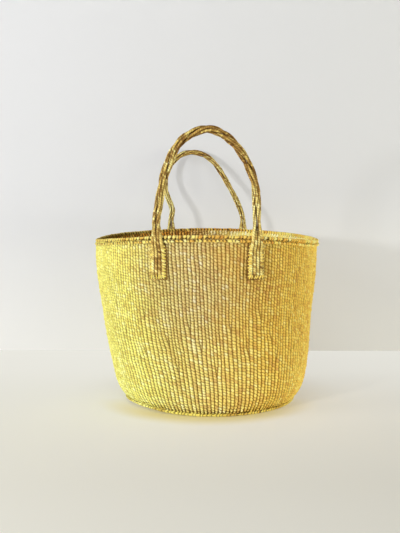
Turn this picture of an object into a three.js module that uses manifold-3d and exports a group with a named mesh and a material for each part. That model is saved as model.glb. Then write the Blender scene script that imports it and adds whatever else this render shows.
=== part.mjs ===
// A handwoven sisal kiondo basket with two twisted handles, in millimetres, +Z up.
// The origin is the centre of the flat underside. The front of the basket faces -Y.
import * as THREE from "three";
import Module from "manifold-3d";

const wasm = await Module();
wasm.setup();

// Driving dimensions
const clearance = 0.3; // gap between pieces that touch
const mouthRadius = 172.5; // outside of the wall under the rim
const footRadius = 134; // outside of the wall at its foot
const wallThickness = 5;
const rimHeight = 259; // mean height of the rim's top
const rimSaddle = 5.9; // the rim rises by this at front and back and dips by it at the sides
const upperRollRadius = 3;
const lowerRollRadius = 1.8;
const upperRollShift = 0.2; // how far the upper roll's middle lies outside the wall's face
const weltRadius = 2.6;
const weltProud = 1; // how far the foot cord stands out past the wall's foot
const baseThickness = 4.4;
const startKnotRadius = 9;
const startKnotHeight = 1.5;

// Ribs of the wall: each group of warps gains one where the wall widens
const ribDepth = 1.6;
const ribGroups = 50;
const ribsAtFoot = 3;
const ribsAtRim = 4;
const earlyForkShare = 0.33;
const lateForkShare = 0.52;
const wallRingShares = [0, 0.03, 0.08, 0.18, earlyForkShare, lateForkShare, 0.8, 1];
const innerRingShares = [0, 0.08, earlyForkShare, 0.8, 1];
const innerColumns = 64;

// Outline of the wall: it swells out of the foot, then widens steadily up to the shoulder
const swellHeightShare = 0.06;
const swellShare = 0.3;
const shoulderShare = 0.8;
const shoulderSoftShare = 0.2;

// Handles
const strandRadius = 3.5;
const frontSpacing = 140; // between the middles of the two legs
const rearSpacing = 130;
const frontRise = 141; // from the bend at the rim to the middle of the strands at the top
const rearRise = 149.5;
const rimLift = 1; // air between the rim and a handle folded over the mouth
const rearLean = THREE.MathUtils.degToRad(24);
const outwardFold = THREE.MathUtils.degToRad(152); // from upright, with room to spare
const halfTwists = 5;
// Middle line of each handle: shares of half the spacing, and of the rise
const frontArchShares = [
  [-1, 0], [-1, 0.11], [-0.94, 0.29], [-0.86, 0.52], [-0.72, 0.72],
  [-0.5, 0.89], [-0.2, 0.98], [0.04, 1], [0.33, 0.945], [0.6, 0.82],
  [0.8, 0.66], [0.94, 0.46], [0.97, 0.3], [0.98, 0.11], [1, 0],
];
const rearArchShares = [
  [-1, 0], [-1, 0.09], [-0.97, 0.22], [-1.1, 0.38], [-1.18, 0.52],
  [-1.16, 0.68], [-1, 0.85], [-0.74, 0.965], [-0.43, 1], [-0.1, 0.965],
  [0.2, 0.855], [0.62, 0.535], [0.93, 0.22], [1, 0.08], [1, 0],
];

// Flat woven ends of the handles, sewn on the wall
const tabWidth = 21;
const tabThickness = 4;
const tabHeight = 58.5; // from the rim's top down
const tabRibs = 4;
const tabRibDepth = 1.2;
const tabRampHeight = 11; // where the tab climbs from the wall over the lower roll
// Height share and width share of each section, from the flared lower end to the neck
const tabOutlineShares = [[0, 1.07], [0.06, 1], [0.4, 0.98], [0.72, 0.9], [0.84, 0.8], [1, 0.7]];
const sewingRadius = 1.3;
const sewingTopGap = 2; // below the lower roll

// Facets
const ringSegments = 72;
const rollSides = 6;
const weltSides = 8;
const strandSides = 6;
const strandSteps = 52;
const sewingSides = 5;
const sewingCornerSteps = 2;

// Derived places
const weltInradius = weltRadius * Math.cos(Math.PI / weltSides);
const weltMiddle = footRadius + weltProud - weltRadius;
const baseRadius = weltMiddle - weltRadius - clearance;
const wallFoot = 2 * weltInradius + clearance;
const wallTop = rimHeight - 2 * upperRollRadius - clearance;
const upperRollMiddle = mouthRadius + upperRollShift;
const lowerRollMiddle = mouthRadius + clearance + lowerRollRadius;
const lowerRollOutside = lowerRollMiddle + lowerRollRadius;
const lowerRollDrop = 2 * upperRollRadius + clearance + lowerRollRadius; // its middle, below the rim's top
const bendRadius = lowerRollOutside + clearance + strandRadius; // basket axis to the handle's bend
const strandOffset = strandRadius + clearance / 2;

// Angles are taken from the front, -Y, towards +X.
const around = (radius, angle, z) =>
  new THREE.Vector3(radius * Math.sin(angle), -radius * Math.cos(angle), z);
const saddle = (angle) => rimSaddle * Math.cos(2 * angle);

// Share of the widening from foot to mouth that the wall has reached at a share of its height.
function widening(share) {
  const swell = 1 - Math.exp(-share / swellHeightShare);
  const slope = share / shoulderShare;
  const nearShoulder = Math.max(shoulderSoftShare - Math.abs(slope - 1), 0) / shoulderSoftShare;
  const taper = Math.min(slope, 1) - (nearShoulder * nearShoulder * shoulderSoftShare) / 4;
  return swellShare * swell + (1 - swellShare) * taper;
}

function wallPoint(share, angle, depth) {
  const radius = footRadius + (mouthRadius - footRadius) * widening(share) - depth;
  return around(radius, angle, wallFoot + share * (wallTop + saddle(angle) - wallFoot));
}

function meshOf(points, triangles) {
  const geometry = new THREE.BufferGeometry().setFromPoints(points);
  geometry.setIndex(triangles);
  geometry.computeVertexNormals();
  return geometry;
}

// Closed solid from a geometry, with its shared vertices merged.
function solidOf(geometry) {
  const place = geometry.attributes.position;
  const index = geometry.index ? geometry.index.array : [...Array(place.count).keys()];
  const mesh = new wasm.Mesh({
    numProp: 3,
    vertProperties: new Float32Array(place.array),
    triVerts: new Uint32Array(index),
  });
  mesh.merge();
  return new wasm.Manifold(mesh);
}

function geometryOf(solid) {
  const mesh = solid.getMesh();
  const geometry = new THREE.BufferGeometry();
  geometry.setAttribute("position", new THREE.BufferAttribute(mesh.vertProperties, 3));
  geometry.setIndex(new THREE.BufferAttribute(mesh.triVerts, 1));
  geometry.computeVertexNormals();
  return geometry;
}

// Wall: a hollow shell whose outside is ribbed by the warps

// One ring of the ribbed outside: a groove and a crest for each warp of each group.
function ribbedRing(share) {
  const ring = [];
  for (let group = 0; group < ribGroups; group++) {
    const forkShare = group % 2 ? lateForkShare : earlyForkShare;
    const ribs = share > forkShare ? ribsAtRim : ribsAtFoot;
    for (let side = 0; side < 2 * ribs; side++) {
      const angle = ((group + side / (2 * ribs)) / ribGroups) * 2 * Math.PI;
      ring.push({ angle, point: wallPoint(share, angle, side % 2 ? 0 : ribDepth) });
    }
  }
  return ring;
}

function smoothRing(share) {
  const ring = [];
  for (let column = 0; column < innerColumns; column++) {
    const angle = (column / innerColumns) * 2 * Math.PI;
    ring.push({ angle, point: wallPoint(share, angle, wallThickness) });
  }
  return ring;
}

// Triangles between two rings with any number of points, each step on the ring that lags.
function zipRings(lower, upper, triangles) {
  const angleOf = (ring, step) => ring[step % ring.length].angle + (step >= ring.length ? 2 * Math.PI : 0);
  const at = (ring, step) => ring[step % ring.length].index;
  let low = 0;
  let high = 0;
  while (low < lower.length || high < upper.length) {
    const stepLow =
      high >= upper.length || (low < lower.length && angleOf(lower, low + 1) <= angleOf(upper, high + 1));
    if (stepLow) {
      triangles.push(at(lower, low), at(lower, low + 1), at(upper, high));
      low++;
    } else {
      triangles.push(at(lower, low), at(upper, high + 1), at(upper, high));
      high++;
    }
  }
}

function wallGeometry() {
  const outside = wallRingShares.map(ribbedRing);
  const inside = innerRingShares.map(smoothRing).reverse();
  const rings = [...outside, ...inside];
  const points = [];
  const triangles = [];
  for (const ring of rings) {
    for (const vertex of ring) {
      vertex.index = points.length;
      points.push(vertex.point);
    }
  }
  rings.forEach((ring, place) => zipRings(ring, rings[(place + 1) % rings.length], triangles));
  return meshOf(points, triangles);
}

// Base: flat woven disc with the start knot raised inside
function baseGeometry() {
  const outline = [
    new THREE.Vector2(0, 0),
    new THREE.Vector2(baseRadius, 0),
    new THREE.Vector2(baseRadius, baseThickness),
    new THREE.Vector2(startKnotRadius, baseThickness),
    new THREE.Vector2(startKnotRadius / 2, baseThickness + startKnotHeight),
    new THREE.Vector2(0, baseThickness + startKnotHeight),
  ];
  return new THREE.LatheGeometry(outline, ringSegments).rotateX(Math.PI / 2);
}

// Cord laid in a ring. It has a flat lowest side where its sides are even in number.
function cordRing(middleRadius, height, cordRadius, sides) {
  const outline = [];
  for (let side = 0; side <= sides; side++) {
    const turn = ((side % sides) + 0.5) * ((2 * Math.PI) / sides) - Math.PI / 2;
    outline.push(
      new THREE.Vector2(
        middleRadius + cordRadius * Math.cos(turn),
        height + cordRadius * Math.sin(turn),
      ),
    );
  }
  return new THREE.LatheGeometry(outline, ringSegments).rotateX(Math.PI / 2);
}

// The rim's rolls are cord rings bent to the saddle of the rim.
function bendToSaddle(geometry) {
  const place = geometry.attributes.position;
  for (let vertex = 0; vertex < place.count; vertex++) {
    const angle = Math.atan2(place.getX(vertex), -place.getY(vertex));
    place.setZ(vertex, place.getZ(vertex) + saddle(angle));
  }
  geometry.computeVertexNormals();
  return geometry;
}

// Handles

// One handle's plane: u runs along +X, v rises from the bend at the rim.
function handleFrame(side, spacing, lean) {
  const legAngle = Math.asin(spacing / 2 / bendRadius);
  const height = rimHeight + saddle(legAngle) + rimLift + strandRadius;
  const origin = new THREE.Vector3(0, side * bendRadius * Math.cos(legAngle), height);
  const up = new THREE.Vector3(0, side * Math.sin(lean), Math.cos(lean));
  return { side, legAngle, origin, up, across: new THREE.Vector3(1, 0, 0) };
}

function archCurve(frame, shares, spacing, rise) {
  const points = shares.map(([u, v]) =>
    frame.origin
      .clone()
      .addScaledVector(frame.across, (u * spacing) / 2)
      .addScaledVector(frame.up, v * rise),
  );
  return new THREE.CatmullRomCurve3(points, false, "centripetal");
}

// One strand of the pair, wound round the arch. The strands lie side by side at both feet.
class StrandCurve extends THREE.Curve {
  constructor(arch, frame, phase) {
    super();
    this.arch = arch;
    this.square = new THREE.Vector3().crossVectors(frame.across, frame.up);
    this.phase = phase;
  }

  getPoint(share, target = new THREE.Vector3()) {
    const along = this.arch.getTangentAt(share);
    const outward = new THREE.Vector3().crossVectors(along, this.square);
    const turn = this.phase + halfTwists * Math.PI * THREE.MathUtils.smoothstep(share, 0, 1);
    return target
      .copy(this.arch.getPointAt(share))
      .addScaledVector(outward, strandOffset * Math.cos(turn))
      .addScaledVector(this.square, strandOffset * Math.sin(turn));
  }
}

function polygonShape(radius, sides) {
  const corners = [];
  for (let side = 0; side < sides; side++) {
    const turn = (side / sides) * 2 * Math.PI;
    corners.push(new THREE.Vector2(radius * Math.cos(turn), radius * Math.sin(turn)));
  }
  return new THREE.Shape(corners);
}

function tubeAlong(curve, radius, sides, steps) {
  return new THREE.ExtrudeGeometry(polygonShape(radius, sides), {
    steps,
    extrudePath: curve,
    bevelEnabled: false,
  });
}

// Both feet of a strand are round, about the line that the handle bends on.
function strandGeometry(arch, frame, phase) {
  const curve = new StrandCurve(arch, frame, phase);
  let solid = solidOf(tubeAlong(curve, strandRadius, strandSides, strandSteps));
  for (const share of [0, 1]) {
    const foot = curve.getPoint(share);
    const ball = new THREE.IcosahedronGeometry(strandRadius, 1).translate(foot.x, foot.y, foot.z);
    solid = solid.add(solidOf(ball));
  }
  return geometryOf(solid);
}

// Tabs

// Point on a tab: across its middle, outward from the wall's face, and height.
function tabPoint(middleAngle, across, outward, z) {
  const radius = mouthRadius + outward;
  return around(radius, middleAngle + across / mouthRadius, z);
}

// Section of a tab: a flat back against the wall and a ribbed face.
function tabSection(middleAngle, halfWidth, back, z) {
  const section = [];
  const columns = 2 * tabRibs;
  for (let column = 0; column <= columns; column++) {
    const across = halfWidth * ((2 * column) / columns - 1);
    const groove = column % 2 ? 0 : tabRibDepth;
    section.push(tabPoint(middleAngle, across, back + tabThickness - groove, z));
  }
  for (let column = tabRibs; column >= 0; column--) {
    section.push(tabPoint(middleAngle, halfWidth * ((2 * column) / tabRibs - 1), back, z));
  }
  return section;
}

// Closed solid through sections that have the same number of points.
function loft(sections) {
  const size = sections[0].length;
  const points = sections.flat();
  const triangles = [];
  for (let level = 0; level + 1 < sections.length; level++) {
    for (let corner = 0; corner < size; corner++) {
      const low = level * size + corner;
      const lowNext = level * size + ((corner + 1) % size);
      triangles.push(low, lowNext, lowNext + size, low, lowNext + size, low + size);
    }
  }
  for (const [level, turned] of [[0, true], [sections.length - 1, false]]) {
    const middle = new THREE.Vector3();
    sections[level].forEach((point) => middle.addScaledVector(point, 1 / size));
    points.push(middle);
    for (let corner = 0; corner < size; corner++) {
      const a = level * size + corner;
      const b = level * size + ((corner + 1) % size);
      triangles.push(points.length - 1, turned ? b : a, turned ? a : b);
    }
  }
  return meshOf(points, triangles);
}

function capsule(start, end, radius) {
  const middle = start.clone().add(end).divideScalar(2);
  const along = end.clone().sub(start);
  const geometry = new THREE.CapsuleGeometry(radius, along.length(), 4, 12);
  const turn = new THREE.Quaternion().setFromUnitVectors(new THREE.Vector3(0, 1, 0), along.normalize());
  return geometry.applyQuaternion(turn).translate(middle.x, middle.y, middle.z);
}

// What stays clear of a tab: the strands' feet, upright and folded right out.
function foldRoom(frame, side, spacing) {
  const reach = strandRadius + clearance;
  const foot = frame.origin.clone().setX((side * spacing) / 2);
  const folded = new THREE.Vector3(0, frame.side * Math.sin(outwardFold), Math.cos(outwardFold));
  const rooms = [];
  for (const shift of [-strandOffset, 0, strandOffset]) {
    const start = foot.clone().setX(foot.x + shift);
    const end = start.clone().addScaledVector(folded, tabHeight);
    rooms.push(solidOf(capsule(start, end, reach)));
  }
  return rooms.reduce((all, room) => all.add(room));
}

// Middle angle of a tab, taken from the front like every other angle.
function tabAngle(frame, side) {
  return frame.side < 0 ? side * frame.legAngle : Math.PI - side * frame.legAngle;
}

function tabGeometry(frame, side, spacing) {
  const middleAngle = tabAngle(frame, side);
  const rimTop = rimHeight + saddle(middleAngle);
  const rollBottom = rimTop - lowerRollDrop - lowerRollRadius;
  const foot = rimTop - tabHeight;
  const top = frame.origin.z - strandRadius;
  const overRoll = lowerRollOutside - mouthRadius;
  const sections = tabOutlineShares.map(([share, widthShare]) => {
    const z = foot + share * (top - foot);
    const climb = THREE.MathUtils.smoothstep(z, rollBottom - tabRampHeight, rollBottom - clearance);
    return tabSection(middleAngle, (tabWidth / 2) * widthShare, clearance + overRoll * climb, z);
  });
  const solid = solidOf(loft(sections)).subtract(foldRoom(frame, side, spacing));
  return geometryOf(solid);
}

// Sewing cord: down one side of the tab, round its lower end and up the other side
function sewingGeometry(frame, side) {
  const middleAngle = tabAngle(frame, side);
  const rimTop = rimHeight + saddle(middleAngle);
  const top = rimTop - lowerRollDrop - lowerRollRadius - sewingTopGap;
  const foot = rimTop - tabHeight;
  const half = (tabWidth / 2) * tabOutlineShares[0][1];
  const reach = clearance + sewingRadius;
  const stations = [[-half, top, Math.PI]];
  for (const [corner, startQuarter] of [[-1, 2], [1, 3]]) {
    for (let step = 0; step <= sewingCornerSteps; step++) {
      const turn = (Math.PI / 2) * (startQuarter + step / sewingCornerSteps);
      stations.push([corner * half, foot, turn]);
    }
  }
  stations.push([half, top, 2 * Math.PI]);
  const sections = stations.map(([across, z, turn]) => {
    const section = [];
    for (let corner = 0; corner < sewingSides; corner++) {
      const round = (-corner / sewingSides) * 2 * Math.PI;
      const away = reach + sewingRadius * Math.cos(round);
      const outward = reach + sewingRadius * Math.sin(round);
      const sideways = across + away * Math.cos(turn);
      section.push(tabPoint(middleAngle, sideways, outward, z + away * Math.sin(turn)));
    }
    return section;
  });
  return loft(sections);
}

// Colours and finish of dyed sisal
const sisal = (color) => new THREE.MeshStandardMaterial({ color, roughness: 0.85, metalness: 0 });
const wallMaterial = sisal(0xd9c560);
const baseMaterial = sisal(0xcdb85a);
const rimMaterial = sisal(0xe0c95c);
const handleMaterial = sisal(0xb99a3c);
const tabMaterial = sisal(0xd2b84e);
const sewingMaterial = sisal(0xc8b04a);

const basket = new THREE.Group();

function addPiece(name, geometry, material) {
  const piece = new THREE.Mesh(geometry, material);
  piece.name = name;
  basket.add(piece);
}

addPiece("base_disc", baseGeometry(), baseMaterial);
addPiece("base_welt", cordRing(weltMiddle, weltInradius, weltRadius, weltSides), rimMaterial);
addPiece("wall", wallGeometry(), wallMaterial);

const lowerRoll = cordRing(lowerRollMiddle, rimHeight - lowerRollDrop, lowerRollRadius, rollSides);
addPiece("rim_lower_roll", bendToSaddle(lowerRoll), rimMaterial);
const upperRoll = cordRing(upperRollMiddle, rimHeight - upperRollRadius, upperRollRadius, rollSides);
addPiece("rim_upper_roll", bendToSaddle(upperRoll), rimMaterial);

const handles = [
  { name: "front", side: -1, spacing: frontSpacing, rise: frontRise, lean: 0, shares: frontArchShares },
  { name: "rear", side: 1, spacing: rearSpacing, rise: rearRise, lean: rearLean, shares: rearArchShares },
];
for (const handle of handles) {
  const frame = handleFrame(handle.side, handle.spacing, handle.lean);
  const arch = archCurve(frame, handle.shares, handle.spacing, handle.rise);
  addPiece(handle.name + "_handle_strand_a", strandGeometry(arch, frame, 0), handleMaterial);
  addPiece(handle.name + "_handle_strand_b", strandGeometry(arch, frame, Math.PI), handleMaterial);
  for (const [place, side] of [["left", -1], ["right", 1]]) {
    const name = handle.name + "_" + place + "_tab";
    addPiece(name, tabGeometry(frame, side, handle.spacing), tabMaterial);
    addPiece(name + "_sewing", sewingGeometry(frame, side), sewingMaterial);
  }
}

export default basket;
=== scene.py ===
"""Kiondo basket: its woven surfaces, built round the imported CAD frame.

Lengths are millimetres until a mesh is made, and the names of sizes are those of part.mjs.
Angles round the basket are taken from the front, -Y, towards +X.
"""

import math

import bpy
import numpy as np
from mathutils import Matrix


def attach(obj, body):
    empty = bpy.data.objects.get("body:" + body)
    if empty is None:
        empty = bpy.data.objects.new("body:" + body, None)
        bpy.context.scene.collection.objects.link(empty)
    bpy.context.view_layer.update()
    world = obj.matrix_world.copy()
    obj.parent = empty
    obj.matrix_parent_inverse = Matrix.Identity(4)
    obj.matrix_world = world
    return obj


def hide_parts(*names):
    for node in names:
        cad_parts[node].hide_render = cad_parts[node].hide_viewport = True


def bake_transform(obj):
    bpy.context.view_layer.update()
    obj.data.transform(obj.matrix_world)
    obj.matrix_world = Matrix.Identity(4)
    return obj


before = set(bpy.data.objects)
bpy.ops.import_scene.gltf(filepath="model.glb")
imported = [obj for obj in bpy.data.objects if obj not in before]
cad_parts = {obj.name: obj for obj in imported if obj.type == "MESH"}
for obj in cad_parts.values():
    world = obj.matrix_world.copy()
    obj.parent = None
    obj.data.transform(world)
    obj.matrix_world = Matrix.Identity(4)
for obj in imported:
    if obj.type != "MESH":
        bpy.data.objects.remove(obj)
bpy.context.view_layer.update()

MM = 0.001
TAU = 2 * math.pi

# The sizes of part.mjs
clearance = 0.3
mouth_radius = 172.5
foot_radius = 134
wall_thickness = 5
rim_height = 259
rim_saddle = 5.9
upper_roll_radius = 3
lower_roll_radius = 1.8
upper_roll_middle = 172.7
lower_roll_middle = 174.6
lower_roll_drop = 8.1
welt_radius = 2.6
welt_middle = 132.4
base_radius = 129.5
base_thickness = 4.4
start_knot_radius = 9
start_knot_height = 1.5
wall_foot = 5.1
wall_reach = 254.6  # the weave ends inside the upper roll's cord
rib_groups = 50
ribs_per_group = 4
swell_height_share = 0.06
swell_share = 0.3
shoulder_share = 0.8
shoulder_soft_share = 0.2
bend_radius = 180.2
strand_radius = 3.5
rim_lift = 1
half_twists = 5
tab_width = 21
tab_height = 58.5
tab_ramp_height = 11
tab_outline_shares = [[0, 1.07], [0.06, 1], [0.4, 0.98], [0.72, 0.9], [0.84, 0.8], [1, 0.7]]
sewing_radius = 1.3
sewing_top_gap = 2
front_arch_shares = [
    [-1, 0], [-1, 0.11], [-0.94, 0.29], [-0.86, 0.52], [-0.72, 0.72],
    [-0.5, 0.89], [-0.2, 0.98], [0.04, 1], [0.33, 0.945], [0.6, 0.82],
    [0.8, 0.66], [0.94, 0.46], [0.97, 0.3], [0.98, 0.11], [1, 0],
]
rear_arch_shares = [
    [-1, 0], [-1, 0.09], [-0.97, 0.22], [-1.1, 0.38], [-1.18, 0.52],
    [-1.16, 0.68], [-1, 0.85], [-0.74, 0.965], [-0.43, 1], [-0.1, 0.965],
    [0.2, 0.855], [0.62, 0.535], [0.93, 0.22], [1, 0.08], [1, 0],
]

# The weave
row_height = 4.35  # of one weft row
wall_rows = 57
wall_rib_depth = 2.9
inner_rib_depth = 1.9
inner_reach = 0.4  # how far the inner ribs stand in past the CAD's inner face
base_rib_depth = 1.2
stitch_slant = 0.5  # rows that a stitch climbs across a rib
stitch_share = 0.5  # of a rib's height that its stitches form

# The way the soft basket stands in the photo
foot_shift = 4.6  # the bottom stands this far right of the mouth
belly_share = 0.013  # how much the wall swells low down
foot_lift = 4  # of the foot's front left edge off the table
rim_wave = 1.8  # the rim's right side is low in front and high behind
rear_left_lift = 2.6
rim_swell = 2.8  # on the left the wall swells out level with the rim's rolls


def smoothstep(value, low=0.0, high=1.0):
    share = np.clip((value - low) / (high - low), 0, 1)
    return share * share * (3 - 2 * share)


def between(first, second, share):
    return first * (1 - share) + second * share


def stacked(*parts):
    """Coordinates of points, from one array of each."""
    return np.stack(np.broadcast_arrays(*parts), -1)


def unit(vectors):
    return vectors / np.linalg.norm(vectors, axis=-1, keepdims=True)


def around(radius, angle, z):
    return stacked(radius * np.sin(angle), -radius * np.cos(angle), z)


def full_turn(count):
    """Angles at equal steps all the way round."""
    return np.arange(count) / count * TAU


def saddle(angle):
    return rim_saddle * np.cos(2 * angle)


def bump(angle, middle, width):
    """One smooth bump round the basket."""
    return np.exp(-((((angle - middle + math.pi) % TAU - math.pi) / width) ** 2))


def wave(angle):
    """Height that the rim has besides its saddle."""
    right = bump(angle, 0.65 * math.pi, 0.5) - bump(angle, 0.35 * math.pi, 0.4)
    return rim_wave * right + rear_left_lift * bump(angle, -0.66 * math.pi, 0.45)


def slump(points):
    """Points of the lower basket where the soft weave holds them."""
    x, y, z = np.moveaxis(points, -1, 0)
    angle = np.arctan2(x, -y)
    shift = foot_shift * (1 - smoothstep(z, 25, 145))
    belly = 1 + belly_share * smoothstep(z, -5, 25) * (1 - smoothstep(z, 80, 170))
    edge = np.clip(np.hypot(x, y) / foot_radius, 0, 1) ** 4
    lift = foot_lift * bump(angle, -0.95, 0.55) * edge * (1 - smoothstep(z, 5, 80))
    return np.stack([x * belly + shift, y * belly, z + lift], -1)


def widening(share):
    swell = 1 - np.exp(-share / swell_height_share)
    slope = share / shoulder_share
    near_shoulder = np.maximum(shoulder_soft_share - np.abs(slope - 1), 0) / shoulder_soft_share
    taper = np.minimum(slope, 1) - near_shoulder**2 * shoulder_soft_share / 4
    return swell_share * swell + (1 - swell_share) * taper


def drift(rng, angle, height, cycles, waves):
    """Smooth random field of about unit size that closes round the basket."""
    count = 12
    total = 0
    for _ in range(count):
        turns = rng.integers(-cycles, cycles + 1)
        climb = TAU * rng.uniform(-waves, waves) * height
        total = total + np.sin(turns * angle + climb + rng.uniform(0, TAU))
    return total / math.sqrt(count / 2)


# Meshes


def add_object(name, data):
    thing = bpy.data.objects.new(name, data)
    bpy.context.scene.collection.objects.link(thing)
    return thing


def grid(rows, columns, close_rows=False, close_columns=False):
    """Quads of a grid of points, and where each of their corners lies, as shares along and up."""
    row_count = rows if close_rows else rows - 1
    column_count = columns if close_columns else columns - 1
    low, left = [a.ravel() for a in np.meshgrid(np.arange(row_count), np.arange(column_count), indexing="ij")]
    up = np.stack([low, low, low + 1, low + 1], 1)
    along = np.stack([left, left + 1, left + 1, left], 1)
    quads = (up % rows) * columns + along % columns
    return quads, np.stack([along / column_count, up / row_count], -1)


def zip_lines(first, second):
    """Triangles between two lines of points that run the same way."""
    triangles = []
    a = b = 0
    last_a, last_b = len(first) - 1, len(second) - 1
    while a < last_a or b < last_b:
        if b == last_b or (a < last_a and (a + 1) * last_b <= (b + 1) * last_a):
            triangles.append((first[a], first[a + 1], second[b]))
            a += 1
        else:
            triangles.append((first[a], second[b + 1], second[b]))
            b += 1
    return np.array(triangles)


def make_piece(name, part, material):
    """Object from a part's points, faces and UV corners. What else a part has becomes fields of the mesh."""
    mesh = bpy.data.meshes.new(name)
    mesh.vertices.add(len(part["points"]))
    mesh.vertices.foreach_set("co", (part["points"] * MM).astype(np.float32).ravel())
    quads, triangles = part["quads"], part["triangles"]
    corners = np.concatenate([quads.ravel(), triangles.ravel()]).astype(np.int32)
    sizes = np.concatenate([np.full(len(quads), 4), np.full(len(triangles), 3)])
    starts = np.concatenate([[0], np.cumsum(sizes)[:-1]])
    mesh.loops.add(len(corners))
    mesh.loops.foreach_set("vertex_index", corners)
    mesh.polygons.add(len(sizes))
    mesh.polygons.foreach_set("loop_start", starts.astype(np.int32))
    mesh.polygons.foreach_set("use_smooth", np.ones(len(sizes), bool))
    layer = mesh.uv_layers.new(name="OFBake")
    uv = np.concatenate([part["quad_uv"].reshape(-1, 2), part["triangle_uv"].reshape(-1, 2)])
    layer.data.foreach_set("uv", uv.astype(np.float32).ravel())
    for field in [key for key in ("tone", "depth", "weave", "inside") if key in part]:
        values = part[field]
        kind, member = ("FLOAT_VECTOR", "vector") if values.ndim == 2 else ("FLOAT", "value")
        attribute = mesh.attributes.new(field, kind, "POINT")
        attribute.data.foreach_set(member, values.astype(np.float32).ravel())
    mesh.update(calc_edges=True)
    if "normals" in part:
        mesh.normals_split_custom_set_from_vertices(part["normals"])
    mesh.materials.append(material)
    return add_object(name, mesh)


# Twined weave


def strand_back(across):
    """Height of a round strand, from 0.2 at its edges to 1 in its middle."""
    return np.sqrt(1 - 0.96 * (2 * across - 1) ** 2)


def stitches(u, v, rib, growth, tones, bulges, rough=1.0):
    """Height from 0 to 1, tone and strand coordinates of twined weave: u across a rib, v up in rows."""
    # the rows meet unevenly from rib to rib
    step = 0.5 * (rib % 2) + 0.32 * np.sin(rib * 2.4) + 0.16 * np.sin(rib * 1.7 + 0.9 * v)
    lean = v + stitch_slant * (u - 0.5) + step
    row = np.floor(lean).astype(int)
    across = lean - row
    row = row % tones.shape[0]
    strand = strand_back(across)
    rib_shape = (1 - np.abs(2 * u - 1) ** 1.7) * growth
    bulge = bulges[row, rib]
    height = rib_shape * (1 - stitch_share + stitch_share * strand) * (1 + 0.16 * bulge * rough)
    height = height + 0.14 * strand * (1 - rib_shape)
    # painted shade: the crests are kept lit, and the gaps beside a stitch dark
    gap = smoothstep(np.abs(2 * across - 1), 0.5, 1) * rough * (0.74 + 0.2 * np.clip(-bulge, -1, 1))
    light = np.clip(rib_shape, 0, 1) ** 0.8 * (1 - gap)
    return height, light, tones[row, rib], across, row


def fibre_field(along, across, row, rib):
    """Where the noise of the fibres is read: drawn out along the strand, and apart for each stitch."""
    return stacked(along * 0.22, across * row_height * 2.2, row * 7.3 + rib * 0.37)


def stitch_tones(rng, count, single, shared, group):
    """Tones of a row of stitches: each has its own, and a group of neighbours shares another."""
    own = rng.normal(0, single, count)
    return own + np.repeat(rng.normal(0, shared, count // group + 1), group)[:count]


def tone_table(rng, rows, ribs):
    """Tone of every stitch: lengths of sisal along the rows, streaks up the ribs, and single stitches."""
    table = np.zeros((rows, ribs))
    for row in range(rows):
        for strand in range(2):
            here = strand
            while here < ribs:
                length = int(rng.integers(3, 14))
                table[row, here : here + length : 2] = rng.normal(0, 0.07)
                here += length + (length % 2)
    for rib in range(ribs):
        here = 0
        while here < rows:
            length = int(rng.integers(4, 16))
            table[here : here + length, rib] += rng.normal(0, 0.08)
            here += length
    return np.clip(0.5 + table + rng.normal(0, 0.16, table.shape), 0.08, 0.94)


def rib_edges(widths):
    edges = np.cumsum(widths, axis=1)
    return np.concatenate([np.zeros((len(widths), 1)), edges], 1) / edges[:, -1:]


def find_ribs(edges, shares):
    """Rib at each share of the way round, row by row, with the place across it."""
    rib = np.zeros(shares.shape, int)
    for row in range(len(edges)):
        rib[row] = np.clip(np.searchsorted(edges[row], shares[row], side="right") - 1, 0, edges.shape[1] - 2)
    rows = np.arange(len(edges))[:, None]
    start = edges[rows, rib]
    width = edges[rows, rib + 1] - start
    return rib, np.clip((shares - start) / np.maximum(width, 1e-9), 0, 1)


# Materials


def rgb(red, green, blue):
    """Linear colour from one written as a screen shows it."""
    return tuple(
        (c / 255 / 12.92) if c < 10.3 else ((c / 255 + 0.055) / 1.055) ** 2.4 for c in (red, green, blue)
    ) + (1,)


class Graph:
    """Short way to write the nodes of a material or a world."""

    def __init__(self, owner):
        self.owner = owner
        owner.use_nodes = True
        self.tree = owner.node_tree
        self.tree.nodes.clear()

    def add(self, kind, inputs=None, output=0, **settings):
        node = self.tree.nodes.new("ShaderNode" + kind)
        for key, value in settings.items():
            setattr(node, key, value)
        for key, value in (inputs or {}).items():
            if isinstance(value, bpy.types.NodeSocket):
                self.tree.links.new(value, node.inputs[key])
            else:
                node.inputs[key].default_value = value
        return node.outputs[output] if output is not None else node

    def math(self, operation, first, second=0.0, clamp=False):
        return self.add("Math", {0: first, 1: second}, operation=operation, use_clamp=clamp)

    def mix(self, share, first, second, blend="MIX"):
        return self.add("Mix", {0: share, 6: first, 7: second}, output=2, data_type="RGBA", blend_type=blend)

    def ramp(self, share, stops):
        node = self.add("ValToRGB", {0: share}, output=None)
        elements = node.color_ramp.elements
        while len(elements) < len(stops):
            elements.new(0.5)
        for element, (place, color) in zip(elements, stops):
            element.position = place
            element.color = color
        return node.outputs[0]

    def field(self, name, output=2):
        """A field of the mesh: as a number, or with output 1 as a vector."""
        return self.add("Attribute", output=output, attribute_name=name)

    def tint(self, color, other, share=1.0):
        return self.mix(share, color, other, "MULTIPLY")

    def fade(self, value, start, end, first=0.0, last=1.0, kind="SMOOTHSTEP"):
        """From first to last, as the value goes from start to end."""
        reach = {0: value, 1: start, 2: end, 3: first, 4: last}
        return self.add("MapRange", reach, interpolation_type=kind)


# How the colour runs from lemon, at 0, to golden, at 1: across the basket it is painted light, lemon on the
# lit left and golden in the warm shade on the right
dye_and_light_middle = 0.58
painted_light_across = 4.6  # for each metre to the right
golden_up = 0.7  # for each metre
dye_patches = 0.45
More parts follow.
